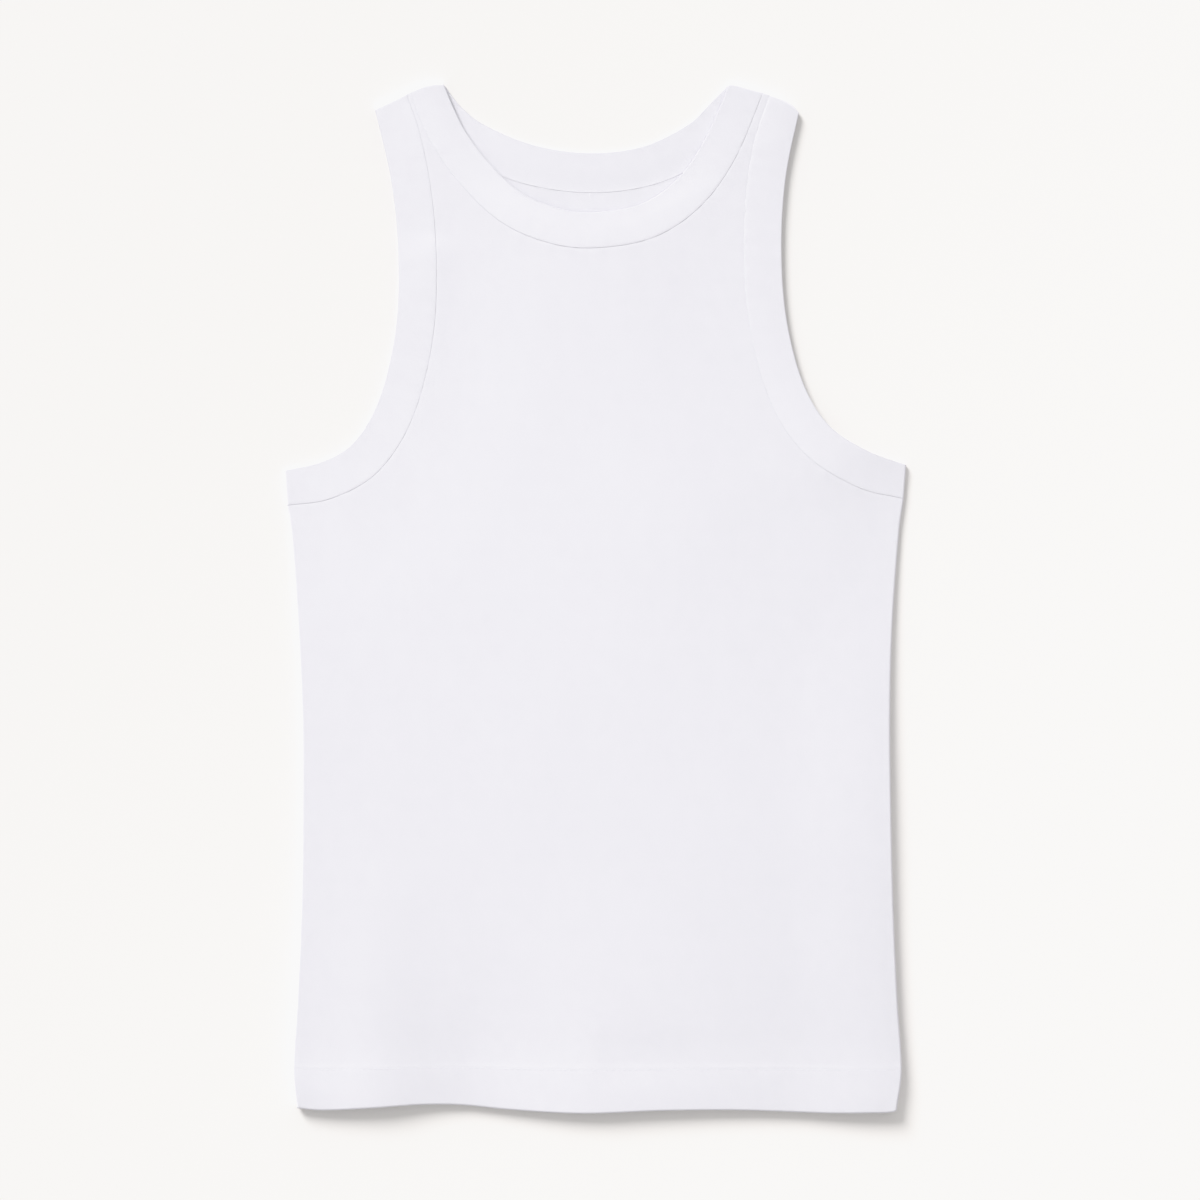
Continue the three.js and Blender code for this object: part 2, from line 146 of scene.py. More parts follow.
# Soft ridges and troughs of the front, each from its strong end to where it dies away, with
# its height (below nothing for a trough) and how far it reaches to its left and its right
CREASE_COLUMNS = ("from_x", "from_y", "to_x", "to_y", "height", "left", "right")
CREASES = [
    (-178, -285, -178, -90, 0.8, 20, 20),
    (-126, -302, -138, -120, 3.0, 34, 28),
    (-72, -302, -64, -205, -0.8, 22, 30),
    (8, -302, 6, -140, 2.1, 46, 80),
    (205, -140, 10, -120, 0.6, 42, 80),
    (12, -270, 110, -270, -0.4, 15, 13),
    (185, 98, 45, 50, 0.8, 20, 40),
    (-96, 200, -94, 130, 0.6, 14, 16),
    (50, 40, -40, 60, 0.6, 70, 60),
]

# Seams: the ditch, and the little puckers beside it and, half as high, along a free edge. The
# puckers are a sum of waves, each with its length, its share, and how it follows the phase
DITCH = {"depth": 0.04, "reach": 0.8}
PUCKER = {"height": 0.06, "reach": 6.0, "seams_apart": 1.3}
EDGE_PUCKER = {"height": 0.03, "reach": 5.0, "stretch": 0.8, "phase": 2}
PUCKER_WAVES = [(9.7, 0.45, 1.0), (6.1, 0.3, 2.1), (15.3, 0.25, 0.7)]
BAND_PHASES = {"armhole": {FRONT: 0.4, BACK: 1.9}, "neck": {FRONT: 0.9, BACK: 2.7}}

# Meshing: rows and columns of the panels' grids and how they crowd, and steps along a band,
# across its face and round its free edge
CURVE_DIVISIONS = 40
SEAM_POINTS = 160
TURN_STEPS = 8
RIM_STEPS = 5
PANEL_MESH = {
    "front": {"body": 120, "chest": 44, "strap": 54, "columns": 66},
    "back": {"body": 80, "chest": 36, "strap": 44, "columns": 44},
}
PANEL_CROWD = {"reach": 0.008, "weight": 6, "neck_power": 1.25, "side_power": 1.35}
TURN_SHARE = 0.25
BAND_MESH = {"along": 1.6, "face": 20, "fold": 10}
BAND_CROWD = {"reach": 1.6, "weight": 5}
EDGE_POWER = 4.0
CROWD_SAMPLES = 4001
LINES_AT_ONCE = 40


def smooth(value):
    """Nothing below 0, one above 1, and an S between them."""
    t = np.clip(value, 0.0, 1.0)
    return t * t * (3 - 2 * t)


def read_table(table, key, column, at):
    """A smooth curve through a table's rows: between two rows a cubic, whose slope at each row
    is the slope from the row before it to the row after it."""
    place = np.asarray(table[key], float)
    value = np.asarray(table[column], float)
    last = len(place) - 1
    rows = np.arange(last + 1)
    before, after = np.maximum(rows - 1, 0), np.minimum(rows + 1, last)
    slope = (value[after] - value[before]) / (place[after] - place[before])
    row = np.clip(np.searchsorted(place, at) - 1, 0, last - 1)
    span = place[row + 1] - place[row]
    t = np.clip((at - place[row]) / span, 0, 1)
    return (
        value[row] * (1 + 2 * t) * (1 - t) ** 2
        + slope[row] * span * t * (1 - t) ** 2
        + value[row + 1] * t * t * (3 - 2 * t)
        - slope[row + 1] * span * t * t * (1 - t)
    )


def unit(vector):
    """Vectors over their own lengths."""
    vector = np.asarray(vector, float)
    return vector / np.linalg.norm(vector, axis=-1, keepdims=True)


class Edge:
    """A free edge with the band that hangs on it. The edge is a Catmull-Rom curve through its
    table; a place on the band is the edge's point at a length along it, moved across. hand is
    1 when the cloth is to the right of someone who walks along the edge, else -1."""

    def __init__(self, table, start_line, end_line, hand, wider):
        self.wider = wider
        p = np.column_stack([table["x"], table["y"]]).astype(float)
        spans = len(p) - 1
        t = np.arange(spans * CURVE_DIVISIONS + 1) / CURVE_DIVISIONS
        i = np.minimum(t.astype(int), spans - 1)
        t = (t - i)[:, None]
        start, end = p[i], p[i + 1]
        leave = (end - p[np.maximum(i - 1, 0)]) / 2
        arrive = (p[np.minimum(i + 2, spans)] - start) / 2
        bend = (2 * start - 2 * end + leave + arrive) * t**3
        self.points = bend + (3 * end - 3 * start - 2 * leave - arrive) * t**2 + leave * t + start
        steps = np.linalg.norm(np.diff(self.points, axis=0), axis=1)
        self.reach = np.concatenate([[0.0], np.cumsum(steps)])
        self.length = self.reach[-1]
        self.tangents = unit(np.gradient(self.points, self.reach, axis=0))
        self.start_line, self.end_line, self.hand = unit(start_line), unit(end_line), hand

    def length_at(self, row):
        """Length along the edge at a row of its table."""
        return self.reach[row * CURVE_DIVISIONS]

    def at(self, length, across):
        """Points at arrays of lengths and of ways across."""
        length, across = np.broadcast_arrays(np.asarray(length, float), across)
        spot = np.stack([np.interp(length, self.reach, self.points[:, k]) for k in (0, 1)], -1)
        tangent = [np.interp(length, self.reach, self.tangents[:, k]) for k in (0, 1)]
        cross = np.stack([tangent[1], -tangent[0]], -1) * self.hand
        near_start = 1 - smooth(length / CROSS_TURN)[..., None]
        near_end = 1 - smooth((self.length - length) / CROSS_TURN)[..., None]
        cross = cross + (self.start_line - cross) * near_start
        cross = cross + (self.end_line - cross) * near_end
        return spot + unit(cross) * across[..., None]

    def width(self, length):
        """The band's width: that of its ends, rising smoothly to that of its middle."""
        inside = smooth(np.minimum(length, self.length - length) / self.wider["over"])
        ends, middle = self.wider["ends"], self.wider["middle"]
        return BAND_WIDTH + ends + (middle - ends) * inside

    def seam(self, length):
        """Points of the band's seam, its width away from the free edge."""
        return self.at(length, self.width(length))


def corner(table, row):
    """A row of a table as a point."""
    return np.array([table["x"][row], table["y"][row]], float)


SHOULDERS = {
    "left": (corner(LEFT_ARMHOLE, -1), corner(FRONT_NECK, 0)),
    "right": (corner(RIGHT_ARMHOLE, -1), corner(FRONT_NECK, -1)),
}
shoulder_line = {side: unit(neck - arm) for side, (arm, neck) in SHOULDERS.items()}
strap_down = {
    side: np.array([line[1], -line[0]]) * np.sign(line[0]) for side, line in shoulder_line.items()
}
armholes = {
    side: Edge(table, BAND_END[side] - corner(table, 0), shoulder_line[side], hand,
               BAND_WIDER[side])
    for side, table, hand in (("left", LEFT_ARMHOLE, 1), ("right", RIGHT_ARMHOLE, -1))
}
necks = {
    part: Edge(table, -shoulder_line["left"], -shoulder_line["right"], 1, BAND_WIDER[part])
    for part, table in (("front", FRONT_NECK), ("back", BACK_NECK))
}


def seam_line(edge):
    """A band's seam as a polyline of equal steps along its edge."""
    return edge.seam(np.linspace(0, edge.length, SEAM_POINTS))


def to_line(x, y, line):
    """Distance from points to a polyline, and the length along it of the nearest place."""
    spot = np.stack([x, y], -1).reshape(-1, 1, 2)
    start, step = line[:-1], np.diff(line, axis=0)
    long = np.linalg.norm(step, axis=1)
    best, where = np.full(spot.shape[0], np.inf), np.zeros(spot.shape[0])
    run = np.concatenate([[0.0], np.cumsum(long)])
    for first in range(0, len(start), LINES_AT_ONCE):
        part = slice(first, first + LINES_AT_ONCE)
        away = spot - start[part]
        t = np.clip((away * step[part]).sum(-1) / long[part] ** 2, 0, 1)
        gap = np.linalg.norm(away - t[..., None] * step[part], axis=-1)
        pick = gap.argmin(1)
        rows = np.arange(len(pick))
        found = gap[rows, pick]
        closer = found < best
        along = run[first + pick] + t[rows, pick] * long[first + pick]
        best, where = np.where(closer, found, best), np.where(closer, along, where)
    return best.reshape(x.shape), where.reshape(x.shape)


arm_seams = [seam_line(edge) for edge in armholes.values()]
neck_seams = {part: seam_line(edge) for part, edge in necks.items()}


def nearest_fold(x, y, is_band):
    """Distance in from the nearest fold, the way in, and whether it is a shoulder's fold."""
    left = x < MIDDLE_X
    if is_band:
        sides = []
        for side, table in (("left", LEFT_ARMHOLE), ("right", RIGHT_ARMHOLE)):
            top, end = corner(table, 0), BAND_END[side]
            sides.append(top[0] + (top[1] - y) * (end[0] - top[0]) / (top[1] - end[1]))
    else:
        sides = [read_table(SIDES, "y", side, y) for side in ("left", "right")]
    inward = np.where(left, 1.0, -1.0)
    sideways = (x - np.where(left, sides[0], sides[1])) * inward
    way = np.stack([inward, np.zeros_like(x)], -1)
    distance, at_shoulder = sideways, np.zeros(x.shape, bool)
    for side, chosen in (("left", left), ("right", ~left)):
        arm, down = SHOULDERS[side][0], strap_down[side]
        drop = (x - arm[0]) * down[0] + (y - arm[1]) * down[1]
        nearer = chosen & (drop < distance)
        distance = np.where(nearer, drop, distance)
        at_shoulder = at_shoulder | nearer
        way = np.where(nearer[..., None], down, way)
    return distance, way, at_shoulder


def falloff(distance, key):
    """One as far as a fold or an opening holds, then a smooth fall to nothing."""
    return 1 - smooth((distance - HOLD[key]) / FALL[key])


def crease_height(x, y):
    """Sum of soft ridges: each a bell across its line, full at its strong end and fading
    smoothly to nothing at the other."""
    total = np.zeros_like(x)
    for row in CREASES:
        c = dict(zip(CREASE_COLUMNS, row))
        run = np.array([c["to_x"] - c["from_x"], c["to_y"] - c["from_y"]], float)
        length = np.hypot(*run)
        along = run / length
        dx, dy = x - c["from_x"], y - c["from_y"]
        way = (dx * along[0] + dy * along[1]) / length
        across = dx * along[1] - dy * along[0]
        across = across / np.where(across < 0, c["left"], c["right"])
        ease = (c["left"] + c["right"]) / 2
        start = smooth((way * length + ease) / ease)
        total = total + c["height"] * start * (1 - smooth(way)) * np.exp(-(across**2))
    return total


def fold_height(x, y, at_shoulder):
    """Height of the nearest fold: a table's value for a side, the same all along a shoulder."""
    left, right = (read_table(FOLD_HEIGHT, "y", side, y) for side in ("left", "right"))
    return np.where(at_shoulder, SHOULDER_HEIGHT, np.where(x < MIDDLE_X, left, right))


def lay_height(x, y):
    """Height of the front's outer face: over the middle's height, the folds that stand higher,
    less the folds and openings that lie lower, blended by a root of the sum of their powers,
    and the creases."""
    distance, _, at_shoulder = nearest_fold(x, y, False)
    to_seam = np.minimum(*[to_line(x, y, line)[0] for line in arm_seams])
    strap = smooth((y - STRAPS["from"]) / (STRAPS["full"] - STRAPS["from"]))
    fold = (fold_height(x, y, at_shoulder) - LAY["middle"]) * falloff(distance, "fold")
    opening = (LAY["middle"] - LAY["opening"]) * np.maximum(falloff(to_seam, "opening"), strap)
    drop = (np.maximum(-fold, 0) ** BLEND_POWER + opening**BLEND_POWER) ** (1 / BLEND_POWER)
    return LAY["middle"] + np.maximum(fold, 0) - drop + crease_height(x, y)


def wave(length, phase):
    """An uneven ripple between -1 and 1: sines whose lengths don't fit each other."""
    turn = 2 * math.pi * length
    return sum(share * np.sin(turn / long + follow * phase) for long, share, follow in PUCKER_WAVES)


def shoulder_bow(x, y):
    """How far points move with the bow of their shoulder's fold: its table's value for their
    share of the fold's line, fading smoothly with the distance down the strap."""
    move = np.zeros((*x.shape, 2))
    for side, near in (("left", x < MIDDLE_X), ("right", x >= MIDDLE_X)):
        arm, neck = SHOULDERS[side]
        down = strap_down[side]
        away = np.stack([x, y], -1) - arm
        share = (away * shoulder_line[side]).sum(-1) / np.linalg.norm(neck - arm)
        fade = 1 - smooth((away * down).sum(-1) / BOW_REACH)
        bow = read_table(SHOULDER_BOW, "share", side, share) * fade
        move = np.where(near[..., None], -down * bow[..., None], move)
    return move


def wall(x, y, face, is_band, thick, lift, sink=0.0):
    """Outer and inner points of a wall of cloth. Away from a fold the outer face lies at its
    height, lifted or sunk; at a fold it turns a quarter round to the level where front and
    back meet."""
    distance, way, at_shoulder = nearest_fold(x, y, is_band)
    low = fold_height(x, y, at_shoulder) / 2
    near = np.clip(distance / FOLD_ROUND["reach"], 0, 1)
    rise = (1 - (1 - near) ** FOLD_ROUND["power"]) ** (1 / FOLD_ROUND["power"])
    flat = (lay_height(x, y) if face == FRONT else np.zeros_like(x)) + lift - face * sink
    plan = np.stack([x, y], -1) + shoulder_bow(x, y)
    outer = np.concatenate([plan, (low + (flat - low) * rise)[..., None]], -1)
    most = FOLD_ROUND["most"] * FOLD_ROUND["reach"]
    shift = (np.minimum(thick, most) * (1 - near))[..., None]
    level = low + (flat - face * thick - low) * rise
    inner = np.concatenate([plan + way * shift, level[..., None]], -1)
    return outer, inner


def mesh_piece(name, points, quads, knit, material, node):
    """Makes a mesh from millimetre points and quads, with the knit's own millimetre UV map, hangs
    it on the root body and hides the CAD part that it stands for, if there is one."""
    mesh = bpy.data.meshes.new(name)
    mesh.vertices.add(len(points))
    mesh.vertices.foreach_set("co", (points * MM).astype(np.float32).ravel())
    mesh.loops.add(quads.size)
    mesh.loops.foreach_set("vertex_index", quads.astype(np.int32).ravel())
    mesh.polygons.add(len(quads))
    mesh.polygons.foreach_set("loop_start", np.arange(0, quads.size, 4, dtype=np.int32))
    mesh.polygons.foreach_set("use_smooth", np.ones(len(quads), bool))
    mesh.update(calc_edges=True)
    mesh.uv_layers.new(name="knit").data.foreach_set("uv", knit.astype(np.float32).ravel())
    mesh.materials.append(material)
    piece = bpy.data.objects.new(name, mesh)
    bpy.context.scene.collection.objects.link(piece)
    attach(piece, "root")
    if node:
        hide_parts(node)
    return piece


def grid_quads(grid, flip=False):
    """What a grid holds at the four corners of each of its cells, round the cell."""
    a, b, c, d = grid[:-1, :-1], grid[:-1, 1:], grid[1:, 1:], grid[1:, :-1]
    corners = np.stack([a, d, c, b] if flip else [a, b, c, d], 2)
    return corners.reshape(-1, 4, *grid.shape[2:])


def crowded(start, stop, count, lines, reach, weight):
    """Places from start to stop, closer together round the given lines: equal steps of the
    running sum of one plus a bell round each line."""
    fine = np.linspace(start, stop, CROWD_SAMPLES)
    density = 1 + weight * sum(np.exp(-(((fine - line) / reach) ** 2)) for line in lines)
    total = np.concatenate([[0.0], np.cumsum((density[1:] + density[:-1]) / 2)])
    return np.interp(np.linspace(0, total[-1], count), total, fine)


# Places in a fold's quarter round, as shares of its reach
TURN = 1 - np.cos(np.linspace(0, math.pi / 2, TURN_STEPS + 1))
MEET = FOLD_ROUND["reach"]


def armhole_places(edge, part, chest_steps, strap_steps):
    """Lengths along an armhole where a panel's rows start: close together in both folds, with
    one even step up to the chest's share and another over it."""
    chest = edge.length * CHEST_SHARE[part]
    low = np.linspace(MEET, chest, chest_steps + 1)[1:]
    high = np.linspace(chest, edge.length - MEET, strap_steps + 1)[1:]
    return np.concatenate([TURN * MEET, low, high, edge.length - TURN[-2::-1] * MEET])


def neck_places(edge, part, side, strap_steps):
    """Lengths along a neck where a strap's rows end: from its middle out, in growing steps, and
    close together in the shoulder's fold."""
    middle = edge.length_at(NECK_MIDDLE[part])
    span = middle if side == "left" else edge.length - middle
    even = np.linspace(0, 1, strap_steps + 1) ** PANEL_CROWD["neck_power"] * (span - MEET)
    steps = np.concatenate([even, span - TURN[-2::-1] * MEET])
    return middle - steps if side == "left" else middle + steps


def body_rows(count, top, lines):
    """Heights of a panel's rows below the underarm, crowded at the hem and its needle."""
    height = top - HEM_LEVEL
    shares = [0, HEM_NEEDLE / height, *lines]
    return HEM_LEVEL + height * crowded(
        0, 1, count, shares, PANEL_CROWD["reach"], PANEL_CROWD["weight"])[:-1]


def hem_wave(x, above, part):
    """How far the hem's wave moves points of a panel up, at heights above the hem's level."""
    shorter = 0 if part == "front" else BACK_HEM_SHORTER
    hem = read_table(FRONT_HEM, "x", "y", x) + shorter
    return (hem - HEM_LEVEL) * (1 - smooth(above / HEM_WAVE_FADE))


def panel_half(side, part):
    """Plan of half a panel: rows from the side or armhole to the middle or neck, as a grid of
    points, with each point's height above the hem's edge, and the row at the neck's middle."""
    size = PANEL_MESH[part]
    armhole, neck = armholes[side], necks[part]
    y = body_rows(size["body"], armhole.seam(0.0)[1], [1])
    starts = np.stack([read_table(SIDES, "y", side, y), y], -1)
    low_y = body_rows(size["body"], UNDERARM_MIDDLE, [])
    ends = np.stack([np.full(len(y), MIDDLE_X), low_y], -1)

    places = armhole_places(armhole, part, size["chest"], size["strap"])
    last_chest = TURN_STEPS + size["chest"]
    rim = armhole.seam(places)
    rim[0, 0] = read_table(SIDES, "y", side, rim[0, 1])
    round_neck = neck.seam(neck_places(neck, part, side, size["strap"]))
    share = places[: last_chest + 1] / places[last_chest]
    chest_y = UNDERARM_MIDDLE + share * (round_neck[0, 1] - UNDERARM_MIDDLE)
    chest_ends = np.stack([np.full(len(chest_y), MIDDLE_X), chest_y], -1)
    chest_ends[-1] = round_neck[0]
    starts = np.concatenate([starts, rim])
    ends = np.concatenate([ends, chest_ends, round_neck[1:]])

    length = np.linalg.norm(ends - starts, axis=1)[:, None]
    turn = np.minimum(MEET, TURN_SHARE * length)
    columns = np.linspace(0, 1, size["columns"] + 1)[1:]
    crowd_side = columns ** PANEL_CROWD["side_power"]
    crowd_both = smooth(columns)
    both = smooth((np.arange(len(starts)) - len(y)) / last_chest)[:, None]
    spread = crowd_side * (1 - both) + crowd_both * both
    steps = np.concatenate([TURN[None, :] * turn, turn + (length - turn) * spread], 1)
    plan = starts[:, None] + (ends - starts)[:, None] * (steps / length)[..., None]
    above = plan[..., 1] - HEM_LEVEL
    fold = read_table(SIDES, "y", side, plan[..., 1])
    plan[..., 1] += hem_wave(plan[..., 0], above, part)
    moved = read_table(SIDES, "y", side, plan[..., 1]) - fold
    plan[..., 0] += moved * (1 - steps / length)
    if side == "right":
        plan, above = plan[:, ::-1], above[:, ::-1]
    return plan, above, len(y) + last_chest


def panel_relief(x, y, above, part):
    """Small relief of a panel's outer face, upwards: the hem's second layer, its flare and its
    needle's ditch, the dip into each band's seam, and puckers beside the stitching."""
    relief = np.zeros_like(x)
    for number, line in enumerate([*arm_seams, neck_seams[part]]):
        gap, where = to_line(x, y, line)
        relief -= DITCH["depth"] * np.exp(-((gap / DITCH["reach"]) ** 2))
        ripple = wave(where, PUCKER["seams_apart"] * number)
        relief += PUCKER["height"] * ripple * np.exp(-gap / PUCKER["reach"])
    relief += HEM_STEP["height"] * (1 - smooth((above - HEM_STEP["from"]) / HEM_STEP["over"]))
    relief += HEM_FLARE["height"] * (1 - smooth(above / HEM_FLARE["depth"]))
    away = above - HEM_NEEDLE
    relief -= HEM_DITCH["depth"] * np.exp(-((away / HEM_DITCH["reach"]) ** 2))
    ripple = wave(x, HEM_PUCKER["phase"])
    relief += HEM_PUCKER["height"] * ripple * np.exp(-np.abs(away) / HEM_PUCKER["reach"])
    return relief


def make_panel(part, material):
    """A panel as a closed thin shell: an outer and an inner grid, and a rim that is a half
    round at the hem and flat elsewhere. The halves share their middle up to the neck."""
    face = FRONT if part == "front" else BACK
    (left_plan, left_above, fork), (right_plan, right_above, _) = (
        panel_half(side, part) for side in ("left", "right"))
    left = np.arange(left_above.size).reshape(left_above.shape)
    right = left + left.size
    right[: fork + 1, 0] = left[: fork + 1, -1]
    plan = np.concatenate([left_plan.reshape(-1, 2), right_plan.reshape(-1, 2)])
    above = np.concatenate([left_above.ravel(), right_above.ravel()])
    x, y = plan[:, 0], plan[:, 1]
    relief = panel_relief(x, y, above, part)
    lift = relief if face == FRONT else -np.minimum(relief, 0)
    in_hem = 1 - smooth((above - HEM_STEP["from"]) / HEM_STEP["over"])
    thick = PANEL_THICK + (HEM_THICK - PANEL_THICK) * in_hem
    edge = np.clip(above / (HEM_THICK / 2), 0, 1)
    round_off = (1 - np.sqrt(1 - (1 - edge) ** 2)) * HEM_THICK / 2
    outer, inner = wall(x, y, face, False, thick, lift, sink=round_off)
    inner[:, 2] += face * round_off

    turn = -1 if face == BACK else 1
    outside = np.concatenate([grid_quads(left), grid_quads(right)])[:, ::turn]
    inside = outside[:, ::-1] + len(outer)

    loop = np.concatenate([
        left[0, :-1], right[0, :-1], right[:-1, -1], right[-1, :0:-1], right[:fork:-1, 0],
        left[fork:-1, -1], left[-1, :0:-1], left[:0:-1, 0],
    ])[::turn]
    shares = np.arange(1, RIM_STEPS)[:, None, None] / RIM_STEPS
    between = (outer[loop] + (inner[loop] - outer[loop]) * shares).reshape(-1, 3)
    rings = np.arange(len(between)).reshape(-1, len(loop)) + 2 * len(outer)
    rings = np.stack([loop, *rings, loop + len(outer)])
    after = np.roll(rings, -1, axis=1)
    rim = np.stack([rings[:-1], rings[1:], after[1:], after[:-1]], -1).reshape(-1, 4)

    quads = np.concatenate([outside, inside, rim])
    points = np.concatenate([outer, inner, between])
    used = np.zeros(len(points), bool)
    used[quads] = True
    quads = (np.cumsum(used) - 1)[quads]
    points = points[used]
    knit = points[quads][..., :2]
    return mesh_piece(f"{part}_panel_cloth", points, quads, knit, material,
                      f"{part}_panel")


def band_profile():
    """A band's section as (way across, share of the thickness from outside to inside): the
    outer face from the seam to the free edge, a squarish half round, and the inner face."""
    radius = BAND_THICK["free"] / 2
    flat = crowded(radius, BAND_WIDTH, BAND_MESH["face"], [BAND_WIDTH, radius],
                   BAND_CROWD["reach"], BAND_CROWD["weight"])
    turn = np.linspace(0, math.pi, BAND_MESH["fold"] + 1)
    bulge = np.sin(turn) ** (2 / EDGE_POWER)
    depth = np.sign(np.cos(turn)) * np.abs(np.cos(turn)) ** (2 / EDGE_POWER)
    across = np.concatenate([flat[:0:-1], radius * (1 - bulge), flat[1:]])
    depth = np.concatenate([np.zeros(len(flat) - 1), (1 - depth) / 2, np.ones(len(flat) - 1)])
    return across, depth


def band_rows(kind, edge, places, face, lower):
    """Points of a stretch of band, a row for each place along its edge: its plan across from
    the edge to the seam, and its outer face at the panel's height with the band's own relief.
    lower is how far the free edge lies under its seam's height."""
    across, depth = band_profile()
    length, way = np.meshgrid(places, across, indexing="ij")
    plan = edge.at(length, way * edge.width(length) / BAND_WIDTH)
    x, y = plan[..., 0], plan[..., 1]
    to_seam = BAND_WIDTH - way
    relief = -DITCH["depth"] * np.exp(-((to_seam / DITCH["reach"]) ** 2))
    relief += BAND_BULGE * np.sin(math.pi * np.clip(way / BAND_WIDTH, 0, 1))
    phase = BAND_PHASES[kind][face]
    relief += PUCKER["height"] * wave(length, phase) * np.exp(-to_seam / PUCKER["reach"])
    ripple = wave(length * EDGE_PUCKER["stretch"], phase + EDGE_PUCKER["phase"])
    relief += EDGE_PUCKER["height"] * ripple * np.exp(-way / EDGE_PUCKER["reach"])
    if face == FRONT:
        proud = read_table(BAND_PROUD, "share", kind, length / edge.length)
        lift = proud + relief - lower * smooth(to_seam / BAND_WIDTH)
    else:
        lift = -np.minimum(relief, 0)
    more = smooth(to_seam / BAND_THICK["over"])
    thick = BAND_THICK["seam"] + (BAND_THICK["free"] - BAND_THICK["seam"]) * more
    outer, inner = wall(x, y, face, True, thick, lift)
    return outer + (inner - outer) * depth[None, :, None]


def make_band(name, node, stretches, material, hand):
    """A band as a closed ring: its section carried along the front stretch, round the fold,
    along the back stretch and round the other fold."""
    ring = np.concatenate([band_rows(*stretch)[:-1] for stretch in stretches])
    count, section = ring.shape[:2]
    index = np.arange(count * section).reshape(count, section)
    closed = np.pad(index, ((0, 1), (0, 1)), mode="wrap")
    quads = grid_quads(closed, flip=hand > 0)
    steps = np.linalg.norm(np.diff(np.concatenate([ring, ring[:1]]), axis=0), axis=-1).mean(1)
    along = np.concatenate([[0.0], np.cumsum(steps)])
    across, _ = band_profile()
    u, v = np.meshgrid(along, np.append(across, across[-1]), indexing="ij")
    knit = grid_quads(np.stack([u, v], -1), flip=hand > 0)
    return mesh_piece(name, ring.reshape(-1, 3), quads, knit, material, node)


def band_places(length):
    """Lengths along a band's edge: even steps, close together in the folds at both ends."""
    count = round((length - 2 * MEET) / BAND_MESH["along"])
    middle = np.linspace(MEET, length - MEET, count)
    return np.concatenate([TURN[:-1] * MEET, middle, length - TURN[-2::-1] * MEET])


# Materials: the knit's stitches in millimetres, how its columns wander, the form of a
# stitch's leg, and how stitches, uneven yarn and slow blotches shade the cloth
KNIT = {"wale": 0.72, "course": 0.56, "depth": 0.10}
WANDER = {"scale": 0.08, "reach": 1.2}
LEG = {"lean": 1.6, "sharp": 0.7, "dip": 0.3}
STITCH_SHADE = {"change": 0.06, "least": 0.955}
YARN = {"scale": 1.4, "change": 0.04, "height": 0.35}
BLOTCH = {"scale": 0.02, "change": 0.02}
CLOTH = {
    "jersey": (0.849, 0.838, 0.886, 1.0),
    "band": (0.851, 0.840, 0.888, 1.0),
    "thread": (0.835, 0.826, 0.872, 1.0),
}
TWIST = {"scale": 900.0, "depth": 0.05}

# The stitches that hold a band: how far apart, how far from its seam and how deep, and how a
# noise makes their pull uneven
SEAM_STITCH = {"pitch": 2.4, "inside": 0.45, "reach": 0.4, "pit": 0.6, "uneven": 0.06}
SEAM_PULL = {"noise": (0.35, 0.65), "pull": (-0.2, -1.6)}

# Painted shade: a band's round free edge is made a little darker than its face, to hold down the
# brighter rim that the light gives there
PAINTED_RIM_SHADE = {"tone": 0.91, "from": 0.2, "to": 0.75}

# Painted light in the cloth's colour: its tone where the light pools, the pool's place in metres,
# and how the tone falls away from there
PAINTED_LIGHT_POOL = {"tone": 1.021, "at": (-0.055, 0.06, 0.0), "fall": (0.87, 0.5, 0.0)}


def link(tree, source, target):
    tree.links.new(source, target)


def add_node(tree, kind, **settings):
    """A node with its settings, and with sockets given by name, as a value or as a link."""
    node = tree.nodes.new(kind)
    sockets = settings.pop("sockets", {})
    for key, value in settings.items():
        setattr(node, key, value)
    for key, value in sockets.items():
        socket = node.inputs[key]
        if isinstance(value, bpy.types.NodeSocket):
            tree.links.new(value, socket)
        else:
            socket.default_value = value
    return node


def sums(tree, operation, *values):
    """One step of arithmetic on values or links."""
    sockets = dict(enumerate(values))
    return add_node(tree, "ShaderNodeMath", operation=operation, sockets=sockets).outputs[0]


def new_material(name):
    """A material and its node tree, still empty."""
    material = bpy.data.materials.new(name)
    material.use_nodes = True
    material.node_tree.nodes.clear()
    return material, material.node_tree


def add_surface(tree, sockets):
    """The one shader of a material, and its output."""
    shader = add_node(tree, "ShaderNodeBsdfPrincipled", sockets=sockets)
    out = add_node(tree, "ShaderNodeOutputMaterial")
    link(tree, shader.outputs["BSDF"], out.inputs["Surface"])


def from_middle(tree, noise, change):
    """A noise's swing to both sides of its middle, times a change."""
    return sums(tree, "MULTIPLY", sums(tree, "SUBTRACT", noise.outputs["Fac"], 0.5), change)


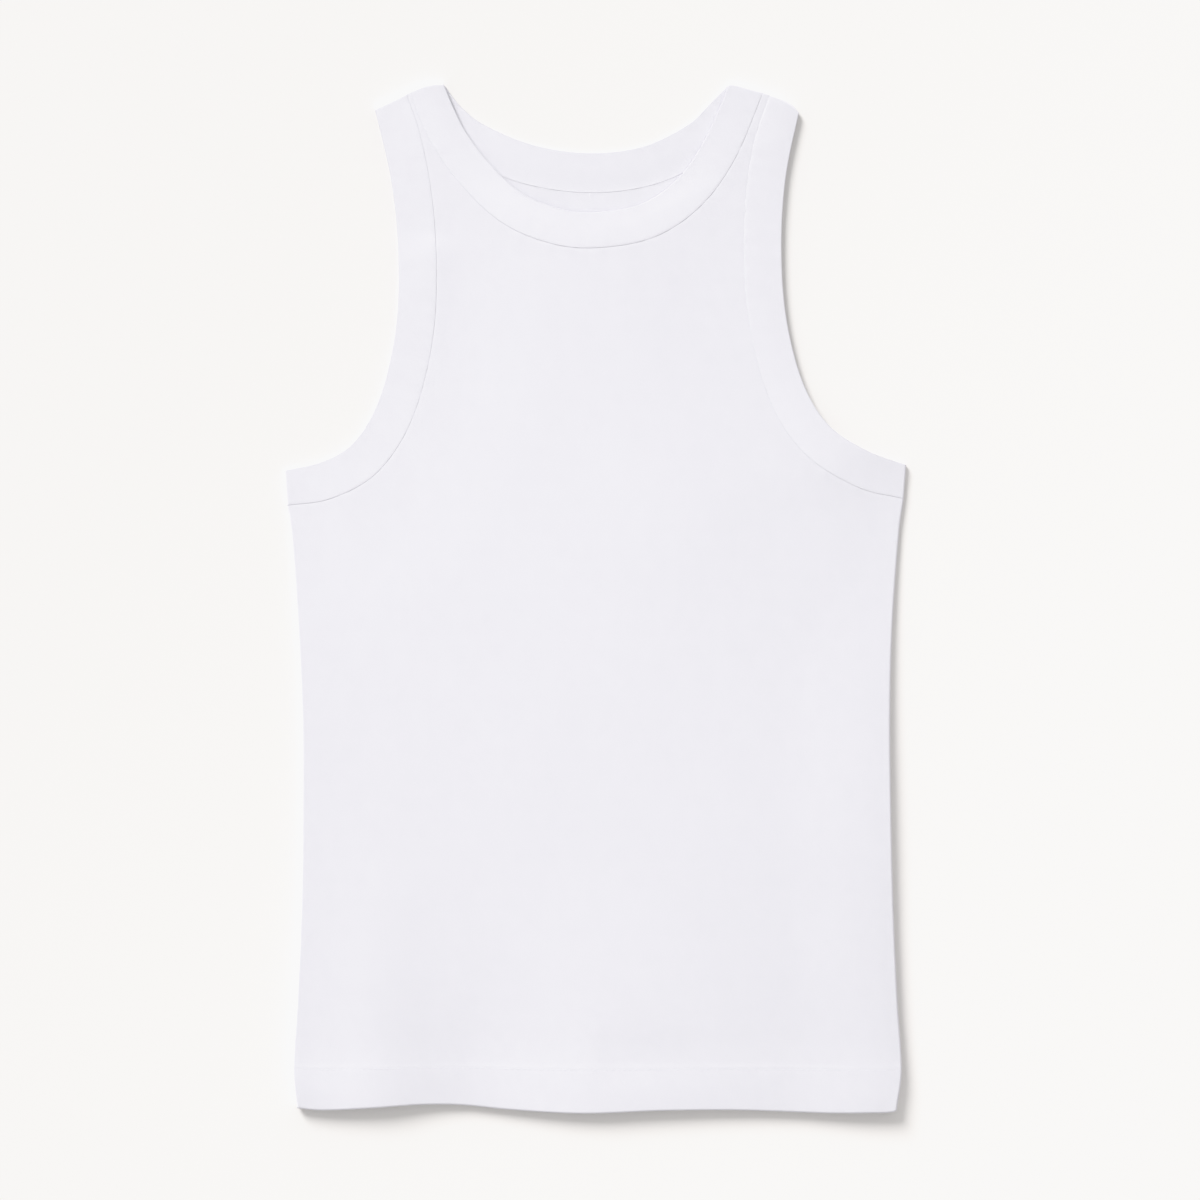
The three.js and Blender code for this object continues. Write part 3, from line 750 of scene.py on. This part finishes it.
def jersey_group():
    """Single jersey as a height and a shade. Columns of stitches stand side by side; in each,
    two legs lean apart as a V. The height is a bell across each leg times a wave along it,
    and the shade is low between legs."""
    group = bpy.data.node_groups.new("Jersey knit", "ShaderNodeTree")
    face = group.interface
    face.new_socket("Place", in_out="INPUT", socket_type="NodeSocketVector")
    for name in ("Height", "Shade"):
        face.new_socket(name, in_out="OUTPUT", socket_type="NodeSocketFloat")
    inside = add_node(group, "NodeGroupInput")
    out = add_node(group, "NodeGroupOutput")
    wander = add_node(group, "ShaderNodeTexNoise", sockets={
        "Vector": inside.outputs["Place"], "Scale": WANDER["scale"], "Detail": 1.0})
    split = add_node(group, "ShaderNodeSeparateXYZ", sockets={"Vector": inside.outputs["Place"]})
    bend = from_middle(group, wander, WANDER["reach"])
    x = sums(group, "DIVIDE", sums(group, "ADD", split.outputs["X"], bend), KNIT["wale"])
    y = sums(group, "DIVIDE", split.outputs["Y"], KNIT["course"])
    half = sums(group, "ABSOLUTE", sums(group, "SUBTRACT", sums(group, "FRACT", x), 0.5))
    leg = sums(group, "ABSOLUTE", sums(group, "SINE", sums(group, "MULTIPLY", half, 2 * math.pi)))
    lean = sums(group, "SUBTRACT", y, sums(group, "MULTIPLY", half, LEG["lean"]))
    loop = sums(group, "COSINE", sums(group, "MULTIPLY", lean, 2 * math.pi))
    loop = sums(group, "MULTIPLY_ADD", loop, LEG["dip"], 1 - LEG["dip"])
    height = sums(group, "MULTIPLY", sums(group, "POWER", leg, LEG["sharp"]), loop)
    link(group, height, out.inputs["Height"])
    link(group, sums(group, "MULTIPLY_ADD", height, 0.5, 0.5), out.inputs["Shade"])
    return group


def painted_light_pool_group():
    """Painted light: the cloth's tone, full where the light pools, less the square of the distance
    from there, which counts more sideways than along the garment."""
    group = bpy.data.node_groups.new("Painted pool of light", "ShaderNodeTree")
    group.interface.new_socket("Tone", in_out="OUTPUT", socket_type="NodeSocketFloat")
    place = add_node(group, "ShaderNodeTexCoord")
    away = add_node(group, "ShaderNodeVectorMath", operation="SUBTRACT", sockets={
        0: place.outputs["Object"], 1: PAINTED_LIGHT_POOL["at"]})
    away = add_node(group, "ShaderNodeVectorMath", operation="MULTIPLY", sockets={
        0: away.outputs["Vector"], 1: PAINTED_LIGHT_POOL["fall"]})
    fall = add_node(group, "ShaderNodeVectorMath", operation="DOT_PRODUCT", sockets={
        0: away.outputs["Vector"], 1: away.outputs["Vector"]})
    tone = sums(group, "SUBTRACT", PAINTED_LIGHT_POOL["tone"], fall.outputs["Value"])
    out = add_node(group, "NodeGroupOutput")
    link(group, tone, out.inputs["Tone"])
    return group


def seam_pits(tree, place):
    """Pits of the stitches that hold a band, near its seam: a bell across the row times the
    upper half of a cosine along it, below nothing."""
    split = add_node(tree, "ShaderNodeSeparateXYZ", sockets={"Vector": place})
    middle = BAND_WIDTH - SEAM_STITCH["inside"]
    away = sums(tree, "DIVIDE", sums(tree, "SUBTRACT", split.outputs["Y"], middle),
                SEAM_STITCH["reach"])
    bell = sums(tree, "EXPONENT", sums(tree, "MULTIPLY", sums(tree, "MULTIPLY", away, away), -1.0))
    turn = sums(tree, "MULTIPLY", split.outputs["X"], 2 * math.pi / SEAM_STITCH["pitch"])
    dash = sums(tree, "MAXIMUM", sums(tree, "COSINE", turn), 0.0)
    uneven = add_node(tree, "ShaderNodeTexNoise", sockets={
        "Vector": place, "Scale": SEAM_STITCH["uneven"], "Detail": 1.0})
    least, most = (pull * SEAM_STITCH["pit"] for pull in SEAM_PULL["pull"])
    pull = add_node(tree, "ShaderNodeMapRange", sockets={
        "Value": uneven.outputs["Fac"], "To Min": least, "To Max": most,
        "From Min": SEAM_PULL["noise"][0], "From Max": SEAM_PULL["noise"][1]})
    return sums(tree, "MULTIPLY", sums(tree, "MULTIPLY", bell, dash), pull.outputs["Result"])


def painted_rim_shade(tree, place):
    """Painted shade: a band's tone from its free edge inwards, darker at the edge."""
    across = add_node(tree, "ShaderNodeSeparateXYZ", sockets={"Vector": place})
    return add_node(tree, "ShaderNodeMapRange", sockets={
        "Value": across.outputs["Y"], "From Min": PAINTED_RIM_SHADE["from"], "From Max": PAINTED_RIM_SHADE["to"],
        "To Min": PAINTED_RIM_SHADE["tone"], "To Max": 1.0}).outputs["Result"]


def cloth_material(slot, group, pool):
    """White cotton knit: its own stitches from the UV map, uneven yarn, a little fuzz, and painted
    light where the light pools; a band also has painted shade at its free edge.
    """
    material, tree = new_material(f"White {slot}")
    place = add_node(tree, "ShaderNodeUVMap", uv_map="knit").outputs["UV"]
    stitch = add_node(tree, "ShaderNodeGroup", node_tree=group, sockets={"Place": place})
    yarn = add_node(tree, "ShaderNodeTexNoise", sockets={
        "Vector": place, "Scale": YARN["scale"], "Detail": 3.0, "Roughness": 0.6})
    blotch = add_node(tree, "ShaderNodeTexNoise", sockets={
        "Vector": place, "Scale": BLOTCH["scale"], "Detail": 2.0})
    painted_light_tone = add_node(tree, "ShaderNodeGroup", node_tree=pool)
    shade = sums(tree, "MULTIPLY_ADD", stitch.outputs["Shade"], STITCH_SHADE["change"],
                 STITCH_SHADE["least"])
    shade = sums(tree, "ADD", shade, from_middle(tree, blotch, BLOTCH["change"]))
    shade = sums(tree, "ADD", shade, from_middle(tree, yarn, YARN["change"]))
    # Painted light: the colour is multiplied by the pool of light's tone
    shade = sums(tree, "MULTIPLY", shade, painted_light_tone.outputs["Tone"])
    height = sums(tree, "MULTIPLY_ADD", yarn.outputs["Fac"], YARN["height"],
                  stitch.outputs["Height"])
    if slot == "band":
        # Painted shade: the band's colour is darkened at its free edge
        shade = sums(tree, "MULTIPLY", shade, painted_rim_shade(tree, place))
        height = sums(tree, "ADD", height, seam_pits(tree, place))
    grey = add_node(tree, "ShaderNodeCombineColor", sockets={
        "Red": shade, "Green": shade, "Blue": shade})
    colour = add_node(tree, "ShaderNodeMix", data_type="RGBA", blend_type="MULTIPLY", sockets={
        "Factor": 1.0, "A": CLOTH[slot], "B": grey.outputs["Color"]})
    bump = add_node(tree, "ShaderNodeBump", sockets={
        "Strength": 1.0, "Distance": KNIT["depth"] * MM, "Height": height})
    add_surface(tree, {
        "Base Color": colour.outputs["Result"], "Normal": bump.outputs["Normal"],
        "Roughness": 0.9, "Sheen Weight": 0.12, "Sheen Roughness": 0.5,
        "Specular IOR Level": 0.25})
    return material


def thread_material():
    """White sewing thread: a fine twist along the stitch, a little smoother than the knit."""
    material, tree = new_material("White thread")
    place = add_node(tree, "ShaderNodeTexCoord")
    twist = add_node(tree, "ShaderNodeTexWave", sockets={
        "Vector": place.outputs["Object"], "Scale": TWIST["scale"], "Distortion": 1.5})
    bump = add_node(tree, "ShaderNodeBump", sockets={
        "Strength": 0.6, "Distance": TWIST["depth"] * MM, "Height": twist.outputs["Fac"]})
    add_surface(tree, {
        "Base Color": CLOTH["thread"], "Normal": bump.outputs["Normal"],
        "Roughness": 0.7, "Sheen Weight": 0.1})
    return material


# The six-sided end of a stitch as two quads
CAP = ([0, 5, 4, 3], [0, 3, 2, 1])


def make_stitches(name, part, material):
    """A row of needle stitches along a hem, each a small spindle that lies in its ditch: rings
    of a round section along the stitch, thin at both ends where the thread dives in."""
    start, pitch = HEM_STITCH["from"], HEM_STITCH["length"] + HEM_STITCH["gap"]
    count = int((HEM_STITCH["to"] - start) / pitch)
    centres = start + (np.arange(count) + 0.5) * pitch
    sides, rings = 6, len(STITCH_ROUND)
    along = np.linspace(-0.5, 0.5, rings) * HEM_STITCH["length"]
    radius = THREAD / 2 * np.array(STITCH_ROUND)
    angle = np.arange(sides) * 2 * math.pi / sides
    x = centres[:, None] + along
    above = np.full_like(x, HEM_NEEDLE)
    y = HEM_LEVEL + above + hem_wave(x, above, part)
    relief = panel_relief(x, y, above, part)
    proud = HEM_STITCH["proud"] + np.array(STITCH_DIP)
    if part == "front":
        z = lay_height(x, y) + relief + proud
    else:
        z = np.maximum(-np.minimum(relief, 0) - proud, THREAD / 2)
    ring_y = y[..., None] + radius[:, None] * np.cos(angle)
    ring_z = z[..., None] + radius[:, None] * np.sin(angle)
    ring_x = np.broadcast_to(x[..., None], ring_y.shape)
    points = np.stack([ring_x, ring_y, ring_z], -1)
    index = np.arange(count * rings * sides).reshape(count, rings, sides)
    around = np.concatenate([index, index[..., :1]], -1)
    tubes = [grid_quads(one) for one in around]
    caps = []
    for ring, turn in ((index[:, 0], 1), (index[:, -1], -1)):
        caps.append(np.concatenate([ring[:, half] for half in CAP])[:, ::turn])
    quads = np.concatenate([*tubes, *caps])
    flat = points.reshape(-1, 3)
    knit = flat[quads][..., :2]
    return mesh_piece(name, flat, quads, knit, material, None)


# Camera: the photograph's side in pixels, what it looks at and from how high, the height of
# the outline that the photograph's scale holds for, and how far it sees, in metres
PHOTO_SIDE = 1200
MM_PER_PIXEL = 0.5831
VIEW_CENTRE = (2.9, -1.2)
VIEW_HEIGHT = 1700.0
EDGE_LEVEL = 2.25
SENSOR = 36.0
SIGHT = 60.0

# Floor: half its side in metres, its tones at the upper left and the lower right, the way that
# they change over, and their share under the garment's middle
FLOOR = {
    "half": 12.0,
    "far": (0.858, 0.840, 0.823, 1.0),
    "near": (0.895, 0.870, 0.850, 1.0),
    "towards": (1.6, -1.1, 0.0),
    "middle": 0.5,
}

# The key light as it falls on the table: where it comes from, how wide it looks, and how bright
KEY = {"elevation": 30.0, "from": (-0.56, 0.83), "spread": 26.0, "strength": 3.0}
FILL = 0.629

# The brightest tones are held back as the photograph's are: (light, shown) on a linear scale
TONES = ((0.87, 0.87), (0.92, 0.912), (0.96, 0.937), (1.0, 0.948))


def make_camera():
    """Looks straight down; the lens takes in the photograph's frame at the garment's edge."""
    camera = bpy.data.cameras.new("Camera")
    camera.sensor_width = SENSOR
    width = PHOTO_SIDE * MM_PER_PIXEL
    camera.lens = SENSOR * (VIEW_HEIGHT - EDGE_LEVEL) / width
    camera.clip_end = SIGHT
    holder = bpy.data.objects.new("Camera", camera)
    holder.location = (VIEW_CENTRE[0] * MM, VIEW_CENTRE[1] * MM, VIEW_HEIGHT * MM)
    bpy.context.scene.collection.objects.link(holder)
    bpy.context.scene.camera = holder


def make_floor():
    """A large pale sheet of board, faintly warm, and a little paler to the right and below."""
    half = FLOOR["half"]
    mesh = bpy.data.meshes.new("Floor")
    mesh.from_pydata([(-half, -half, 0), (half, -half, 0), (half, half, 0), (-half, half, 0)],
                     [], [(0, 1, 2, 3)])
    floor = bpy.data.objects.new("Floor", mesh)
    bpy.context.scene.collection.objects.link(floor)
    material, tree = new_material("Pale board")
    place = add_node(tree, "ShaderNodeTexCoord")
    ramp = add_node(tree, "ShaderNodeVectorMath", operation="DOT_PRODUCT", sockets={
        0: place.outputs["Object"], 1: FLOOR["towards"]})
    tone = add_node(tree, "ShaderNodeClamp", sockets={
        "Value": sums(tree, "ADD", ramp.outputs["Value"], FLOOR["middle"])})
    mix = add_node(tree, "ShaderNodeMix", data_type="RGBA", sockets={
        "Factor": tone.outputs["Result"], "A": FLOOR["far"], "B": FLOOR["near"]})
    add_surface(tree, {
        "Base Color": mix.outputs["Result"], "Roughness": 0.95, "Specular IOR Level": 0.1})
    mesh.materials.append(material)


def make_light():
    """A broad soft light from the neck's side, a little to the left, and an even fill."""
    lamp = bpy.data.lights.new("Soft light", "SUN")
    lamp.energy = KEY["strength"]
    lamp.angle = math.radians(KEY["spread"])
    holder = bpy.data.objects.new("Soft light", lamp)
    flat = unit(KEY["from"])
    rise = math.radians(KEY["elevation"])
    spot = Vector([*(flat * math.cos(rise)), math.sin(rise)])
    holder.location = spot
    holder.rotation_euler = spot.to_track_quat("Z", "Y").to_euler()
    bpy.context.scene.collection.objects.link(holder)
    world = bpy.data.worlds.new("Fill")
    world.use_nodes = True
    back = world.node_tree.nodes["Background"]
    back.inputs["Color"].default_value = (1.0, 1.0, 1.0, 1.0)
    back.inputs["Strength"].default_value = FILL
    bpy.context.scene.world = world


def make_tones():
    """Shows tones as they are up to the first of TONES and bends those over it, so that white
    cloth and pale board keep their difference where light piles up beside a fold."""
    view = bpy.context.scene.view_settings
    view.view_transform = "Standard"
    view.use_curve_mapping = True
    curve = view.curve_mapping.curves[3]
    curve.points[-1].location = TONES[-1]
    for light, shown in TONES[:-1]:
        curve.points.new(light, shown)
    curve.points[0].handle_type = curve.points[1].handle_type = "VECTOR"
    view.curve_mapping.extend = "HORIZONTAL"
    view.curve_mapping.update()


make_camera()
make_floor()
make_light()
make_tones()

knit_group = jersey_group()
painted_light_group = painted_light_pool_group()
jersey = cloth_material("jersey", knit_group, painted_light_group)
binding = cloth_material("band", knit_group, painted_light_group)
thread = thread_material()

panels = {part: make_panel(part, jersey) for part in ("front", "back")}
stitches = {
    part: make_stitches(f"{part}_hem_stitches", part, thread) for part in ("front", "back")
}
for side, edge in armholes.items():
    forth = band_places(edge.length)
    back = edge.length - forth
    make_band(
        f"armhole_band_{side}_cloth", f"armhole_band_{side}",
        [("armhole", edge, forth, FRONT, 0.0), ("armhole", edge, back, BACK, 0.0)],
        binding, edge.hand)
forth = band_places(necks["front"].length)
from_end = np.minimum(forth, necks["front"].length - forth)
lowering = NECK_LOWER["depth"] * smooth(from_end / NECK_LOWER["over"])[:, None]
back = necks["back"].length - band_places(necks["back"].length)
neckband = make_band(
    "neckband_cloth", "neckband",
    [("neck", necks["front"], forth, FRONT, lowering), ("neck", necks["back"], back, BACK, 0.0)],
    binding, 1)
